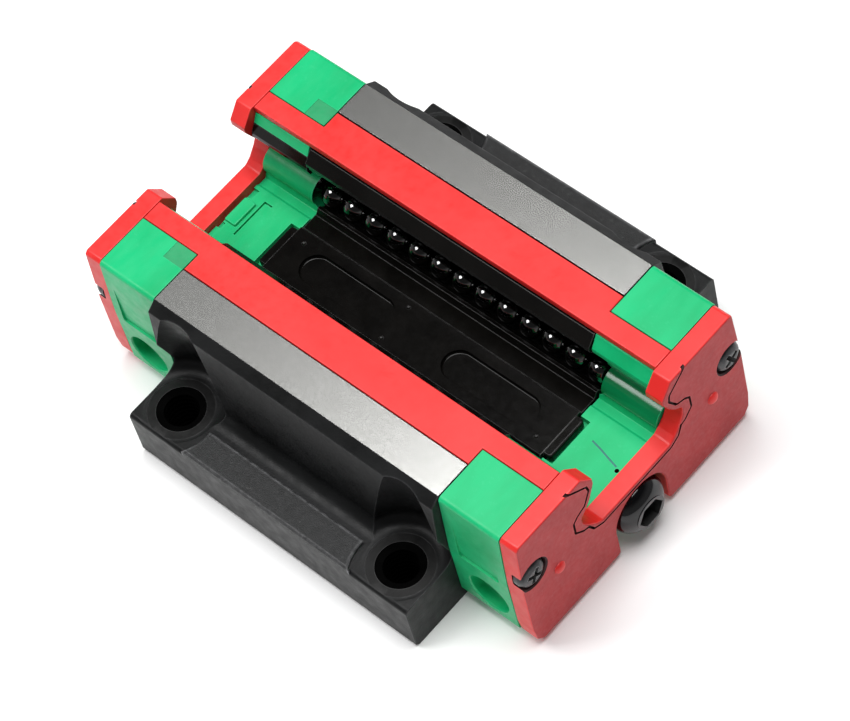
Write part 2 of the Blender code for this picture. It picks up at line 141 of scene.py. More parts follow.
def to_object(name, shape, material=None):
    bmesh.ops.recalc_face_normals(shape, faces=shape.faces)
    mesh = bpy.data.meshes.new(name)
    shape.to_mesh(mesh)
    shape.free()
    item = bpy.data.objects.new(name, mesh)
    bpy.context.scene.collection.objects.link(item)
    if material:
        mesh.materials.append(material)
    return item


def extrusion(name, outline, axis, low, high, material=None, edge=(0, 0), segments=3):
    """An outline carried from low to high along an axis; edge rounds the rims of its two ends."""
    shape = bmesh.new()
    rings = []
    for level in (low, high):
        rings.append([shape.verts.new((a * MM, b * MM, level * MM)) for a, b in outline])
    caps = [shape.faces.new(ring) for ring in rings]
    for index in range(len(outline)):
        after = (index + 1) % len(outline)
        shape.faces.new((rings[0][index], rings[0][after], rings[1][after], rings[1][index]))
    bmesh.ops.recalc_face_normals(shape, faces=shape.faces)
    for cap, width in zip(caps, edge):
        if width:
            bmesh.ops.bevel(
                shape, geom=list(cap.edges), offset=width * MM, offset_type="OFFSET",
                segments=segments, profile=0.5, affect="EDGES", clamp_overlap=True,
            )
    bmesh.ops.transform(shape, matrix=AXIS_FRAMES[axis], verts=shape.verts)
    return to_object(name, shape, material)


def turned(name, profile, place, material=None, steps=64):
    """A turned solid. The profile is (radius, height) points about the local Z axis of a place; it
    starts and ends on the axis, or closes on itself for a ring."""
    shape = bmesh.new()
    on_axis = profile[0][0] < 1e-6
    rings = []
    for radius, height in profile:
        if radius < 1e-6:
            rings.append([shape.verts.new((0, 0, height * MM))])
            continue
        ring = []
        for step in range(steps):
            angle = 2 * math.pi * step / steps
            x, y = radius * MM * math.cos(angle), radius * MM * math.sin(angle)
            ring.append(shape.verts.new((x, y, height * MM)))
        rings.append(ring)
    pairs = list(zip(rings, rings[1:]))
    if not on_axis:
        pairs.append((rings[-1], rings[0]))
    for upper, lower in pairs:
        for step in range(steps):
            after = (step + 1) % steps
            corners = [upper[step % len(upper)], upper[after % len(upper)],
                       lower[after % len(lower)], lower[step % len(lower)]]
            corners = list(dict.fromkeys(corners))
            if len(corners) > 2:
                shape.faces.new(corners)
    bmesh.ops.transform(shape, matrix=place, verts=shape.verts)
    return to_object(name, shape, material)


def along_x(end, y, z, x=0.0):
    """A place whose local Z axis points out of the carriage at one end, +1 near or -1 far."""
    turn = Matrix.Rotation(math.radians(90 * end), 4, "Y")
    return Matrix.Translation((x * MM, y * MM, z * MM)) @ turn


def along_z(x, y, z=0.0):
    return Matrix.Translation((x * MM, y * MM, z * MM))


def box(name, low, high, material=None, edge=0.0):
    outline = [(low[0], low[1]), (high[0], low[1]), (high[0], high[1]), (low[0], high[1])]
    return extrusion(name, outline, "Z", low[2], high[2], material, (edge, edge))


def span(end, low, high):
    """The x range from low to high, mirrored to the far end when end is -1."""
    return (low, high) if end > 0 else (-high, -low)


def apply_modifiers(item):
    bpy.context.view_layer.update()
    graph = bpy.context.evaluated_depsgraph_get()
    mesh = bpy.data.meshes.new_from_object(item.evaluated_get(graph))
    old = item.data
    item.modifiers.clear()
    item.data = mesh
    bpy.data.meshes.remove(old)


def combine(item, others, operation="DIFFERENCE"):
    """Cuts the other solids out of the item, or joins them to it; new faces keep their own material."""
    for other in others:
        modifier = item.modifiers.new(other.name, "BOOLEAN")
        modifier.operation = operation
        modifier.solver = "EXACT"
        modifier.material_mode = "TRANSFER"
        modifier.object = other
    apply_modifiers(item)
    for other in others:
        bpy.data.objects.remove(other, do_unlink=True)


def soften(item, width, segments=2, angle=35):
    """Rounds every remaining sharp edge by a small width."""
    modifier = item.modifiers.new("Soften", "BEVEL")
    modifier.width = width * MM
    modifier.segments = segments
    modifier.limit_method = "ANGLE"
    modifier.angle_limit = math.radians(angle)
    modifier.use_clamp_overlap = True
    modifier.miter_outer = "MITER_ARC"
    apply_modifiers(item)


def place_piece(item, body, nodes, smooth=32):
    """Shades a finished piece and hangs it on its CAD body."""
    item.data.shade_smooth()
    item.data.set_sharp_from_angle(angle=math.radians(smooth))
    weights = item.modifiers.new("Normals", "WEIGHTED_NORMAL")
    weights.keep_sharp = True
    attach(item, body)
    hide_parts(*nodes)
    return item


# --- materials ---------------------------------------------------------------------------------

def node(tree, kind, inputs=None, **settings):
    made = tree.nodes.new(kind)
    for key, value in settings.items():
        setattr(made, key, value)
    for key, value in (inputs or {}).items():
        if isinstance(value, bpy.types.NodeSocket):
            tree.links.new(value, made.inputs[key])
        else:
            made.inputs[key].default_value = value
    return made


def noise(tree, scale, detail=4.0, stretch=(1, 1, 1), rough=0.55):
    place = node(tree, "ShaderNodeTexCoord")
    size = node(tree, "ShaderNodeMapping", {"Vector": place.outputs["Object"], "Scale": stretch})
    made = node(tree, "ShaderNodeTexNoise", {
        "Vector": size.outputs["Vector"], "Scale": scale, "Detail": detail, "Roughness": rough,
    })
    return made.outputs["Fac"]


def spread(tree, value, low, high, to_low, to_high):
    made = node(tree, "ShaderNodeMapRange", {
        "Value": value, "From Min": low, "From Max": high, "To Min": to_low, "To Max": to_high,
    })
    return made.outputs["Result"]


def times(tree, first, second):
    made = node(tree, "ShaderNodeMath", operation="MULTIPLY")
    for socket, value in zip(made.inputs, (first, second)):
        if isinstance(value, bpy.types.NodeSocket):
            tree.links.new(value, socket)
        else:
            socket.default_value = value
    return made.outputs["Value"]


def blend_colours(tree, factor, first, second):
    made = node(tree, "ShaderNodeMix", data_type="RGBA")
    tree.links.new(factor, made.inputs[0])
    for socket, value in zip((made.inputs[6], made.inputs[7]), (first, second)):
        if isinstance(value, bpy.types.NodeSocket):
            tree.links.new(value, socket)
        else:
            socket.default_value = (*value, 1.0)
    return made.outputs[2]


def edge_mask(tree, width, low=0.995, high=0.9):
    """1 on convex and concave edges and 0 on flats, from the change of normal within a small width."""
    round_normal = node(tree, "ShaderNodeBevel", {"Radius": width * MM}, samples=4)
    true_normal = node(tree, "ShaderNodeNewGeometry")
    dot = node(tree, "ShaderNodeVectorMath", operation="DOT_PRODUCT")
    tree.links.new(round_normal.outputs["Normal"], dot.inputs[0])
    tree.links.new(true_normal.outputs["Normal"], dot.inputs[1])
    return spread(tree, dot.outputs["Value"], low, high, 0.0, 1.0)


def make_material(name, colours, roughness, patch=120.0, stretch=(1, 1, 1), metallic=0.0,
                  grain=(2500.0, 0.004), waves=None, edge_wear_and_highlight=None, specks=None, specular=0.5, coat=None):
    """A procedural finish.
    colours: the two ends of its cloudy tone. roughness: its two ends. grain: scale and depth (mm) of
    the fine bump. waves: the same for a coarser bump. edge_wear_and_highlight: colour, amount and
    width (mm) of a lighter tone on edges, partly worn edges and partly a painted highlight.
    specks: colour and amount of small dust marks."""
    material = bpy.data.materials.new(name)
    material.use_nodes = True
    tree = material.node_tree
    shader = tree.nodes["Principled BSDF"]
    shader.inputs["Metallic"].default_value = metallic
    shader.inputs["Specular IOR Level"].default_value = specular
    if coat:
        shader.inputs["Coat Weight"].default_value = coat[0]
        shader.inputs["Coat Roughness"].default_value = coat[1]
    clouds = noise(tree, patch, 5.0, stretch)
    tone = blend_colours(tree, spread(tree, clouds, 0.36, 0.64, 0.0, 1.0), *colours)
    if specks:
        dots = spread(tree, noise(tree, 1600.0, 3.0), 0.6, 0.72, 0.0, specks[1])
        tone = blend_colours(tree, dots, tone, specks[0])
    # Lighter tone on edges and creases, broken up by noise: partly worn edges, partly a painted highlight
    # where edges catch the light.
    if edge_wear_and_highlight:
        broken = spread(tree, noise(tree, 900.0, 4.0), 0.35, 0.62, 0.25, 1.0)
        mask = times(tree, times(tree, edge_mask(tree, edge_wear_and_highlight[2]), broken), edge_wear_and_highlight[1])
        tone = blend_colours(tree, mask, tone, edge_wear_and_highlight[0])
    tree.links.new(tone, shader.inputs["Base Color"])
    gloss = spread(tree, noise(tree, patch * 5.3, 4.0, stretch), 0.3, 0.7, *roughness)
    tree.links.new(gloss, shader.inputs["Roughness"])
    fine = node(tree, "ShaderNodeBump", {
        "Height": noise(tree, grain[0], 3.0, stretch), "Distance": grain[1] * MM,
    })
    if waves:
        coarse = node(tree, "ShaderNodeBump", {
            "Height": noise(tree, waves[0], 2.0), "Distance": waves[1] * MM,
        })
        tree.links.new(coarse.outputs["Normal"], fine.inputs["Normal"])
    tree.links.new(fine.outputs["Normal"], shader.inputs["Normal"])
    return material


# The lighter edge tone in each material below is partly worn edges and partly a painted highlight.
BLACK = make_material(
    "black_oxide_steel", ((0.0035, 0.0037, 0.0038), (0.008, 0.0084, 0.0088)), (0.34, 0.5), patch=90.0,
    grain=(3000.0, 0.02), waves=(700.0, 0.02), edge_wear_and_highlight=((0.13, 0.13, 0.135), 0.35, 0.3), specular=0.18,
)
CAST = make_material(
    "cast_pad", ((0.006, 0.0062, 0.0064), (0.011, 0.0115, 0.012)), (0.42, 0.58), patch=800.0,
    grain=(6500.0, 0.09), edge_wear_and_highlight=((0.30, 0.30, 0.31), 0.9, 0.5), specks=((0.05, 0.05, 0.05), 0.35),
    specular=0.35,
)
# Threaded bores: near black and without shine, which is painted shade.
HOLE_SHADE_BLACK = make_material(
    "hole_painted_shade", ((0.001, 0.001, 0.001), (0.002, 0.002, 0.002)), (0.8, 0.9), patch=300.0,
    grain=(2600.0, 0.01), specular=0.0,
)
MACHINED = make_material(
    "black_machined", ((0.004, 0.004, 0.004), (0.010, 0.010, 0.010)), (0.3, 0.45), patch=200.0,
    grain=(2600.0, 0.01), edge_wear_and_highlight=((0.16, 0.16, 0.16), 0.3, 0.2), specular=0.15,
)
GROUND = make_material(
    "ground_steel", ((0.50, 0.50, 0.48), (0.61, 0.61, 0.59)), (0.25, 0.26), patch=3200.0,
    stretch=(0.5, 1.0, 1.0), metallic=1.0, grain=(6500.0, 0.0002),
)
GREEN = make_material(
    "cap_plastic", ((0.004, 0.38, 0.13), (0.008, 0.48, 0.18)), (0.3, 0.48), patch=140.0,
    stretch=(1.0, 0.35, 1.0), grain=(3000.0, 0.003), waves=(260.0, 0.03),
    edge_wear_and_highlight=((0.08, 0.60, 0.31), 0.5, 0.25), specks=((0.07, 0.58, 0.30), 0.12), specular=0.3,
)
DARK_GREEN = make_material(
    "cap_patch", ((0.010, 0.27, 0.10), (0.014, 0.32, 0.12)), (0.35, 0.5), patch=300.0,
    grain=(3000.0, 0.003),
)
RED = make_material(
    "seal_rubber", ((0.68, 0.018, 0.016), (0.78, 0.027, 0.025)), (0.34, 0.5), patch=150.0,
    grain=(2400.0, 0.004), waves=(300.0, 0.02), edge_wear_and_highlight=((0.85, 0.12, 0.12), 0.5, 0.3), specular=0.42,
)
# Outward seal faces: dust specks, and a darker, duller red than the rest of the seal, which is painted
# shade.
DUST_AND_SHADE_RED = make_material(
    "seal_face_dust_and_painted_shade", ((0.40, 0.018, 0.021), (0.47, 0.028, 0.031)), (0.45, 0.6), patch=260.0,
    grain=(2400.0, 0.006), waves=(420.0, 0.03), edge_wear_and_highlight=((0.75, 0.16, 0.17), 0.4, 0.3),
    specks=((0.46, 0.10, 0.11), 0.22), specular=0.35,
)
# Near black: the moulded seam's own dark line, and painted shade in the screw head seats and the grease
# hole.
SEAM_AND_SHADE_DARK = make_material("seal_seam_and_painted_shade", ((0.02, 0.003, 0.003), (0.05, 0.006, 0.006)), (0.6, 0.8), patch=500.0)
RETAINER = make_material(
    "retainer_plastic", ((0.0022, 0.0020, 0.0017), (0.0042, 0.0038, 0.0033)), (0.14, 0.2), patch=180.0,
    grain=(1800.0, 0.001), waves=(330.0, 0.004), edge_wear_and_highlight=((0.17, 0.17, 0.17), 0.6, 0.2), specular=0.15,
)
RECESS = make_material(
    "retainer_recess", ((0.0020, 0.0018, 0.0016), (0.0040, 0.0036, 0.0032)), (0.14, 0.2), patch=180.0,
    grain=(1800.0, 0.001), waves=(330.0, 0.004), specular=0.15,
)
# Near cap's round channel walls: glossier, and a darker green that is painted shade.
GLOSSY_SHADED_GREEN = make_material(
    "cap_gloss_painted_shade", ((0.003, 0.20, 0.065), (0.005, 0.26, 0.09)), (0.17, 0.22), patch=140.0,
    stretch=(0.35, 1.0, 1.0), grain=(3000.0, 0.002), waves=(300.0, 0.01), specular=0.5,
)
STEEL = make_material(
    "ball_steel", ((0.13, 0.13, 0.13), (0.16, 0.16, 0.16)), (0.04, 0.09), patch=300.0, metallic=1.0,
    grain=(900.0, 0.0008),
)
SCREW = make_material(
    "screw_black", ((0.03, 0.03, 0.032), (0.07, 0.07, 0.072)), (0.25, 0.45), patch=500.0, metallic=0.75,
    grain=(2600.0, 0.01), edge_wear_and_highlight=((0.45, 0.45, 0.45), 0.9, 0.2),
)
BUTTON = make_material(
    "button_black", ((0.002, 0.002, 0.0025), (0.004, 0.004, 0.005)), (0.06, 0.12), patch=400.0,
    grain=(2200.0, 0.002), edge_wear_and_highlight=((0.09, 0.09, 0.1), 0.7, 0.15),
)
PLATED = make_material(
    "plated_steel", ((0.28, 0.25, 0.21), (0.42, 0.39, 0.35)), (0.25, 0.45), patch=400.0, metallic=1.0,
    grain=(2600.0, 0.006), edge_wear_and_highlight=((0.6, 0.6, 0.58), 0.6, 0.2),
)
# Screw cross recesses and hex sockets: near black, which is painted shade.
RECESS_SHADE_BLACK = make_material(
    "recess_painted_shade", ((0.006, 0.006, 0.006), (0.015, 0.015, 0.015)), (0.4, 0.6), patch=600.0,
)
INK = make_material("faint_mark", ((0.01, 0.12, 0.12), (0.012, 0.16, 0.14)), (0.4, 0.6), patch=600.0)


# --- steel block -------------------------------------------------------------------------------

def block_outline():
    raceways = []
    for row in ("b", "a"):
        raceways.append(arc((ROW_Y, ROW_Z[row]), GROOVE_R, 72, -72, 18))
    outer = [(30.9, 0, 0.2), (HALF_WIDTH, 0.6, 0.3), (HALF_WIDTH, FLANGE_Z, 0.7)]
    leg = [(22.8, 24.25, 0.3), (21.2, TOP_Z, 0.15)]
    inner = [(15.5, TOP_Z, 0.1), (15.5, 24.0, 0.1), (11.9, 24.0, 0.1)]
    half = outer + arc((26.4, 11.9), 2.5, -90, -185.5, 14) + leg + inner
    half += raceways[0] + [(10.6, 18.1, 0.15), (10.6, 15.4, 0.15)] + raceways[1] + [(10.2, WEB_Z, 0.3)]
    return rounded(both_sides(half))


def pad(side):
    """The raised cast pad between two bolt holes, with a hollow curve at each end."""
    inner, outer, reach = 26.9, HALF_WIDTH - 0.01, 20.8
    ends = []
    for y in [inner + (outer - inner) * step / 8 for step in range(9)]:
        ends.append((reach - math.sqrt(6.8 ** 2 - (y - 27.6) ** 2), y))
    outline = ends + [(-x, y) for x, y in reversed(ends)]
    outline = [(x, side * y) for x, y in outline]
    return extrusion("pad", outline, "Z", 8.4, PAD_Z, CAST, (0, 0.38), 4)


def relief_cutter(x, y):
    """The round hollow that lets a bolt head in beside the leg."""
    profile = rounded([(0, 25.6), (3.9, 25.4, 1.0), (4.75, 24.2, 0.9), (7.0, 11.4)], 6, closed=False)
    profile += arc((5.0, 11.37), 2.0, 0, -90, 12)[1:] + [(0, FLANGE_Z - 0.03)]
    return turned("relief", profile, along_z(x, y), BLACK, 96)


def bolt_hole_cutter(x, y):
    """A spot face and the threaded hole below it."""
    profile = [(0, 12.0), (SPOT_R, 12.0), (SPOT_R, SPOT_Z), (3.5, SPOT_Z), (3.5, SPOT_Z - 0.15)]
    level, pitch, crest, root = SPOT_Z - 0.1, 1.0, 2.5, 2.95
    while level > 1.5:
        profile += [(crest, level - 0.25), (crest, level - 0.45)]
        profile += [(root, level - 0.9), (root, level - 0.95)]
        level -= pitch
    profile += [(crest, level - 0.25), (crest, -2), (0, -2)]
    cutter = turned("bolt_hole", profile, along_z(x, y), MACHINED, 64)
    # The bore below the spot face is painted near black: painted shade.
    cutter.data.materials.append(HOLE_SHADE_BLACK)
    for face in cutter.data.polygons:
        if face.center.z < (SPOT_Z - 0.01) * MM:
            face.material_index = 1
    return cutter


def make_block():
    block = extrusion("block", block_outline(), "X", -BLOCK_END, BLOCK_END, BLACK, (0.25, 0.25), 3)
    reliefs, holes = [], []
    for side in SIDES.values():
        for end in ENDS.values():
            reliefs.append(relief_cutter(end * BOLT_X, side * BOLT_Y))
            holes.append(bolt_hole_cutter(end * BOLT_X, side * BOLT_Y))
    combine(block, reliefs)
    combine(block, [pad(side) for side in SIDES.values()], "UNION")
    combine(block, holes)
    cutters = []
    for side in SIDES.values():
        for row_z in ROW_Z.values():
            cutters.append(turned("return_way", [(0, 30), (GROOVE_R, 30), (GROOVE_R, -30), (0, -30)],
                                  along_x(1, side * RETURN_Y, row_z), MACHINED, 40))
        for end in ENDS.values():
            hole = [(0, 30), (1.4, 30), (1.4, 23.0), (0, 23.0)]
            cutters.append(turned("tapped", hole, along_x(end, side * SCREW_Y, SCREW_Z), MACHINED, 24))
    combine(block, cutters)
    block.data.materials.append(GROUND)
    ground = len(block.data.materials) - 1
    for face in block.data.polygons:
        is_top = face.center.z > (TOP_Z - 0.02) * MM and face.normal.z > 0.99
        is_base = face.center.z < 0.02 * MM and face.normal.z < -0.99
        if is_top or is_base:
            face.material_index = ground
    place_piece(block, "carriage", ["carriage_block"])


# --- end caps ----------------------------------------------------------------------------------

def channel_edge(nose):
    """The rail channel's edge, from the top to the centre line; nose draws its nose back."""
    edge = [(9.4, 24.1, 0.25)]
    if nose:
        edge += [(8.65, 22.75), (8.6 + nose, 22.7), (7.8 + nose, 21.2, 0.5), (7.75 + nose, 20.6, 0.3)]
    else:
        edge += [(8.2, 22.1, 0.5), (8.15, 21.5, 0.3)]
    edge += [(8.6 + nose, 19.9, 0.5), (10.25, 18.0, 0.3)]
    edge += arc((ROW_Y, ROW_Z["a"]), GROOVE_R + 0.45, 90, 205, 26)
    return edge + [(7.5, 10.7, 0.15), (6.2, 10.7, 0.1), (5.8, 11.0, 0.1)]


def cap_outline(nose):
    """A cap's section; the right-hand nose is drawn back to make room for the retainer's tail."""
    outer = [(20.6, 0.8, 0.6), (22.1, 2.6, 0.6), (22.1, 14.0, 2.0), (21.5, TOP_Z, 0.75)]
    notch = [(12.7, TOP_Z, 0.15), (12.7, 24.0, 0.1)]
    left = mirrored(outer + notch + channel_edge(0.0), -1)
    return rounded(outer + notch + channel_edge(nose) + left[::-1], 6)


def turn_pocket_profile():
    middle_r = 2.75
    low, high = ROW_Z["a"], ROW_Z["b"]
    profile = [(0, high + GROOVE_R)] + arc((TURN_R, high), GROOVE_R, 90, -90, 14)
    profile += [(middle_r, high - GROOVE_R), (middle_r, low + GROOVE_R)]
    return profile + arc((TURN_R, low), GROOVE_R, 90, -90, 14) + [(0, low - GROOVE_R)]


def side_details(end, side):
    """The round side port and the sunk panel above it on a cap's outer face."""
    place = AXIS_FRAMES["Y"] @ Matrix.Translation((7.0 * MM, end * 31.0 * MM, 0))
    if side < 0:
        place = place @ Matrix.Diagonal((1, 1, -1, 1))
    port = rounded([
        (0, 30), (3.45, 30), (3.45, 22.05), (3.3, 21.9, 0.1), (3.3, 20.3, 0.25), (1.5, 20.3, 0.1),
        (1.5, 19.2, 0.2), (0, 19.2),
    ], 4, closed=False)
    panel = rounded([(13.0, end * 27.0, 0.6), (22.6, end * 27.0, 0.6), (22.6, end * 33.9, 0.6),
                     (13.0, end * 33.9, 0.6)])
    low, high = sorted((side * 21.75, side * 30))
    return [
        turned("side_port", port, place, GREEN, 48),
        extrusion("panel", panel, "Y", low, high, GREEN),
    ]


def gloss_and_shade_round_walls(cap):
    """Gives the round walls in line with the lower ball rows a glossier finish and a darker green that is
    painted shade.
    """
    cap.data.materials.append(GLOSSY_SHADED_GREEN)
    for face in cap.data.polygons:
        reach = Vector((abs(face.center.y) - ROW_Y * MM, face.center.z - ROW_Z["a"] * MM)).length
        if abs(face.normal.x) < 0.1 and reach < (GROOVE_R + 0.47) * MM:
            face.material_index = 1


def make_cap(end_name):
    end = ENDS[end_name]
    nose = 0.0 if end > 0 else 0.4
    low, high = span(end, CAP_IN, CAP_OUT)
    cap = extrusion("cap_" + end_name, cap_outline(nose), "X", low, high, GREEN, (0.15, 0.15), 2)
    if end > 0:
        gloss_and_shade_round_walls(cap)
    cutters = []
    for side in SIDES.values():
        turn_place = along_z(end * TURN_X, side * TURN_Y)
        cutters.append(turned("pocket", turn_pocket_profile(), turn_place, GREEN, 48))
        way = [(0, 45), (SCREW_WAY_R, 45), (SCREW_WAY_R, 20), (0, 20)]
        cutters.append(turned("screw_way", way, along_x(end, side * SCREW_Y, SCREW_Z), GREEN, 24))
        cutters += side_details(end, side)
        scoop = [(0, 27.0), (2.2, 27.0), (3.0, 25.0), (0, 25.0)]
        cutters.append(turned("scoop", scoop, along_x(end, side * ROW_Y, ROW_Z["a"]), GREEN, 48))
    port = [(0, 45), (3.2, 45), (3.2, 28.4), (0, 28.4)]
    cutters.append(turned("port", port, along_x(end, 0, PORT_Z), GREEN, 48))
    low, high = span(end, 20, 27.0)
    cutters.append(box("tab_seat", (low, -3.9, 9.8), (high, 3.9, 20), GREEN))
    if end > 0:
        # The grease hole is painted near black: painted shade.
        cutters.append(turned("grease_hole", [(0, 14), (0.32, 14), (0.32, PORT_Z), (0, PORT_Z)],
                              along_z(34.5, 0.3), SEAM_AND_SHADE_DARK, 24))
        mark = ribbon([(29.0, 1.9), (30.7, 1.55), (32.4, 1.1), (34.1, 0.7)], 0.26)
        cutters.append(extrusion("mark", mark, "Z", 10.95, 12, INK))
    if end < 0:
        for side in SIDES.values():
            low_y, high_y = sorted((side * 12.4, side * 15.6))
            cutters.append(box("patch", (-28.9, low_y, TOP_Z - 0.06), (-25.0, high_y, 27), DARK_GREEN))
    combine(cap, cutters)
    if end < 0:
        combine(cap, far_slots())
        combine(cap, far_key(), "UNION")
    place_piece(cap, "carriage", ["end_cap_" + end_name])


def far_key():
    """The small key that stands on the far cap's channel floor."""
    block = rounded([(-35.0, -1.2, 0.2), (-33.0, -1.2, 0.2), (-33.0, 3.2, 0.2), (-35.0, 3.2, 0.2)])
    return [extrusion("block", block, "Z", 10.0, 11.5, GREEN, (0, 0.15))]


def far_slots():
    """The slots round the key: a wide one along the seal and a narrow hooked one."""
    corners = (
        ((-35.6, -2.6, 10.4), (-34.6, -1.5, 14)),
        ((-35.6, 3.5, 10.4), (-34.3, 5.2, 14)),
        ((-35.6, -2.6, 10.4), (-35.05, 5.2, 14)),
        ((-32.5, -2.2, 10.4), (-32.2, 4.4, 14)),
        ((-32.5, 4.1, 10.4), (-31.0, 4.4, 14)),
    )
    return [box("slot", low, high, GREEN) for low, high in corners]


def make_guides():
    """The guide in each cap pocket that is the inner wall of the two ball turns."""
    post_r, disc_r = 1.0, 2.5
    low, high = ROW_Z["a"] - 1.9, ROW_Z["b"] + 1.9
    disc_low, disc_high = ROW_Z["a"] + 2.4, ROW_Z["b"] - 2.4
    profile = [(0, high), (post_r, high, 0.2), (post_r, disc_high, 0.3), (disc_r, disc_high, 0.3)]
    profile += [(disc_r, disc_low, 0.3), (post_r, disc_low, 0.3), (post_r, low, 0.2), (0, low)]
    for end_name, end in ENDS.items():
        for side_name, side in SIDES.items():
            name = f"{end_name}_{side_name}"
            place = along_z(end * TURN_X, side * TURN_Y)
            guide = turned("guide_" + name, rounded(profile, 3, closed=False), place, GREEN, 40)
            low_x, high_x = sorted((end * (BLOCK_END + 0.35), 0))
            combine(guide, [box("guide_flat", (low_x, -30, 0), (high_x, 30, 30), GREEN)])
            place_piece(guide, "carriage", ["return_guide_" + name])


# --- seals -------------------------------------------------------------------------------------

def lip_edge(floor):
    """The wiping edge of the end seal, from the top to the centre line; floor is its lowest level."""
    return [
        (8.9, TOP_Z, 0.5), (6.9, 23.0, 0.45), (6.9, 22.0, 0.45), (8.0, 19.6, 1.0), (9.0, 18.3, 0.8),
        (10.1, 17.5, 0.8), (10.0, 15.9, 1.0), (9.1, 14.4, 1.0), (7.9, floor + 0.7, 0.8),
        (6.9, floor, 0.8),
    ]


def seal_outline(floor, notch_r):
    outer = [(20.8, 1.0, 0.7), (21.8, 2.2, 0.8), (22.1, 5.0), (22.0, 15.0)]
    outer += [(21.4, 24.9, 0.5), (20.9, TOP_Z, 0.5)]
    arch = arc((0, PORT_Z), notch_r, 90, 0, 20)
    return rounded(both_sides(arch[1:] + [(notch_r, 1.0, 0.5)] + outer + lip_edge(floor)), 6)


def seam_path():
    """The moulded seam a little outside the wiping edge, from one leg to the other."""
    half = [(11.9, 25.6), (8.25, 22.9, 0.4), (8.0, 21.7, 0.4), (9.2, 19.5, 0.6)]
    half += [(10.8, 18.85, 0.4), (11.6, 18.1, 0.4), (11.65, 15.8, 0.5), (10.2, 14.5, 0.4)]
    half += [(9.3, 14.2, 0.3), (8.5, 12.6, 0.4), (6.8, 11.75, 0.5)]
    return rounded(half + [(-c[0], *c[1:]) for c in reversed(half)], 4, closed=False)


def make_end_seal(end_name):
    end = ENDS[end_name]
    low, high = span(end, SEAL_IN, SEAL_OUT)
    rims = (0.1, 0.33) if end > 0 else (0.33, 0.1)
    floor, notch_r = (12.4, 5.0) if end > 0 else (12.2, 4.2)
    seal = extrusion("seal_" + end_name, seal_outline(floor, notch_r), "X", low, high, RED, rims, 4)
    # Faces pointing out along the rail get the darker red, which is painted shade, with dust specks.
    seal.data.materials.append(DUST_AND_SHADE_RED)
    for face in seal.data.polygons:
        if face.normal.x * end > 0.8:
            face.material_index = 1
    dots, cutters = [], []
    for side in SIDES.values():
        dome = [(0, SEAL_OUT - 0.1 + DOT_RISE)]
        for angle in map(math.radians, (75, 60, 45, 30, 15, 0)):
            dome.append((DOT_R * math.cos(angle), SEAL_OUT - 0.1 + DOT_RISE * math.sin(angle)))
        dome += [(DOT_R, SEAL_OUT - 1), (0, SEAL_OUT - 1)]
        dots.append(turned("dot", dome, along_x(end, side * 15.5, 12.6), RED, 32))
        # The seat round each screw head is painted near black: painted shade.
        seat = rounded([
            (0, 45), (2.7, 45), (2.7, SEAL_OUT - 0.02), (2.5, SEAL_OUT - 0.2, 0.1), (2.5, 36.6, 0.2),
            (SCREW_WAY_R, 36.6), (SCREW_WAY_R, 30), (0, 30),
        ], 4, closed=False)
        cutters.append(turned("head_seat", seat, along_x(end, side * SCREW_Y, SCREW_Z), SEAM_AND_SHADE_DARK, 48))
    low, high = span(end, SEAL_OUT - 0.45, 45)
    cutters.append(extrusion("seam", ribbon(seam_path(), 0.36), "X", low, high, SEAM_AND_SHADE_DARK))
    combine(seal, dots, "UNION")
    combine(seal, cutters)
    place_piece(seal, "carriage", ["end_seal_" + end_name])


def make_bottom_seals():
    """The strips that close the gap between each leg and the rail."""
    wide, narrow, inner = 15.38, 12.6, 9.45
    middle_end, strip_end = BLOCK_END - 0.05, CAP_OUT
    for side_name, side in SIDES.items():
        half = [(strip_end, inner), (strip_end, narrow), (middle_end, narrow), (middle_end, wide)]
        outline = half + [(-x, y) for x, y in reversed(half)]
        outline = [(x, side * y) for x, y in outline]
        strip = extrusion("wiper_" + side_name, outline, "Z", 24.3, TOP_Z, RED, (0.1, 0.16), 3)
        place_piece(strip, "carriage", ["bottom_seal_" + side_name])


# --- ball retainers ----------------------------------------------------------------------------

def make_centre_retainer():
    half = [(9.1, WEB_Z + 0.3, 0.1), (9.1, 10.75, 0.1), (8.65, 11.05, 0.15)]
    half += [(8.2, 11.6, 0.2), (8.0, 11.95, 0.12)]
    half += [(7.5, 11.95, 0.12), (7.2, 11.4, 0.15), (6.9, 11.0, 0.12), (4.3, 11.0, 0.12), (4.0, 11.6, 0.16)]
    outline = rounded(both_sides(half), 4)
    plate = extrusion("rail_retainer", outline, "X", -RETAINER_END, RETAINER_END, RETAINER, (0.1, 0.1), 2)
    tab = rounded([(26.4, -3.5, 0.5), (26.4, 3.5, 0.5), (-26.4, 3.5, 0.5), (-26.4, -3.5, 0.5)])
    combine(plate, [extrusion("tab", tab, "Z", WEB_Z + 0.3, 11.52, RETAINER, (0, 0.25))], "UNION")
    cutters = []
    for middle in (-13.0, 13.0):
        ends = arc((middle + 5.7, 0), 2.4, -90, 90, 20) + arc((middle - 5.7, 0), 2.4, 90, 270, 20)
        cutters.append(extrusion("recess", ends, "Z", 11.0, 14, RECESS, (0.3, 0)))
    for x, y in ((-22.9, 2.2), (-4.2, 2.9), (-4.0, -2.9), (22.9, -2.2)):
        dimple = [(0, 12.4)]
        for angle in (0, 0.4, 0.8, 1.2):
            dimple.append((0.5 * math.cos(angle), DIMPLE_Z - DIMPLE_DEPTH * math.sin(angle)))
        dimple += [(0, DIMPLE_Z - DIMPLE_DEPTH)]
        cutters.append(turned("dimple", dimple, along_z(x, y), RETAINER, 20))
    combine(plate, cutters)
    smooth_finish = plate.data.materials.find(RECESS.name)
    for face in plate.data.polygons:
        if face.normal.z > 0.99 and face.center.z > 11.55 * MM:
            face.material_index = smooth_finish
    place_piece(plate, "carriage", ["centre_retainer"])


